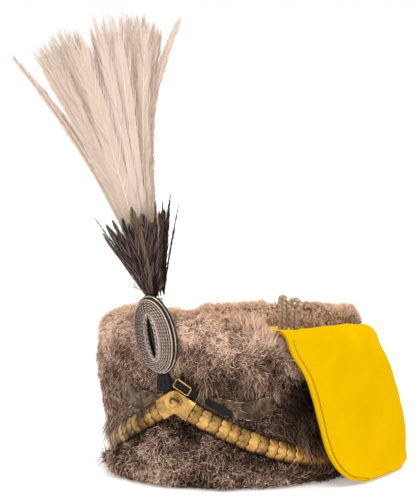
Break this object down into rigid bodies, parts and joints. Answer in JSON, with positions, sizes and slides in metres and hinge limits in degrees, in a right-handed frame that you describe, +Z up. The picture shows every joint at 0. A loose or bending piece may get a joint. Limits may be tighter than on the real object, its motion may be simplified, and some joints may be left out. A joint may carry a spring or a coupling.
{
  "type": "fur cap",
  "caption": "Hussar pattern dress fur cap: hollow fur body with a cloth bag on its left, an oval cord cockade with a tall feather plume, and brass chin scales.",
  "frame": {"origin": "centre of the head opening, on the floor that the cap stands on", "axes": "+Z up through the crown, the wearer faces -Y, the wearer's left is +X, where the bag hangs"},
  "size_m": [0.2421, 0.3215, 0.3616],
  "materials": {
    "fur": "dense curly brown-grey fur with lighter tips",
    "yellow_cloth": "felted wool cloth, saturated yellow, matt",
    "silver_cord": "twisted tarnished silver thread",
    "black_velvet": "black velvet",
    "dark_leather": "black leather, satin",
    "white_feather": "cream white feathers with golden shafts",
    "dark_feather": "black-brown feathers",
    "gilt_brass": "gilt brass with brown patina",
    "grey_metal": "dull white metal, tarnished"
  },
  "bodies": {
    "root": {"badge_scroll": "grey_metal", "bag": "yellow_cloth", "boss_l": "gilt_brass", "boss_r": "gilt_brass", "buckle_frame": "gilt_brass", "chin_leather_l": "dark_leather", "chin_leather_r": "dark_leather", "cockade_back": "dark_leather", "cockade_cord": "silver_cord", "cockade_slit": "black_velvet", "cockade_tongue": "dark_leather", "cockade_wire": "gilt_brass", "crown_cloth": "yellow_cloth", "end_plate_lower": "gilt_brass", "end_plate_upper": "gilt_brass", "fur_body": "fur", "joint_hook": "gilt_brass", "loop_round": "silver_cord", "loop_upright": "silver_cord", "plume_dark": "dark_feather", "plume_stem": "white_feather", "plume_white": "white_feather", "scale_l_01": "gilt_brass", "scale_l_02": "gilt_brass", "scale_l_03": "gilt_brass", "scale_l_04": "gilt_brass", "scale_l_05": "gilt_brass", "scale_l_06": "gilt_brass", "scale_l_07": "gilt_brass", "scale_l_08": "gilt_brass", "scale_l_09": "gilt_brass", "scale_l_10": "gilt_brass", "scale_l_11": "gilt_brass", "scale_l_12": "gilt_brass", "scale_l_13": "gilt_brass", "scale_l_14": "gilt_brass", "scale_l_15": "gilt_brass", "scale_l_16": "gilt_brass", "scale_r_01": "gilt_brass", "scale_r_02": "gilt_brass", "scale_r_03": "gilt_brass", "scale_r_04": "gilt_brass", "scale_r_05": "gilt_brass", "scale_r_06": "gilt_brass", "scale_r_07": "gilt_brass", "scale_r_08": "gilt_brass", "scale_r_09": "gilt_brass", "scale_r_10": "gilt_brass", "scale_r_11": "gilt_brass", "scale_r_12": "gilt_brass", "scale_r_13": "gilt_brass", "scale_r_14": "gilt_brass", "scale_r_15": "gilt_brass", "scale_r_16": "gilt_brass", "thin_strap": "dark_leather"}
  },
  "joints": []
}
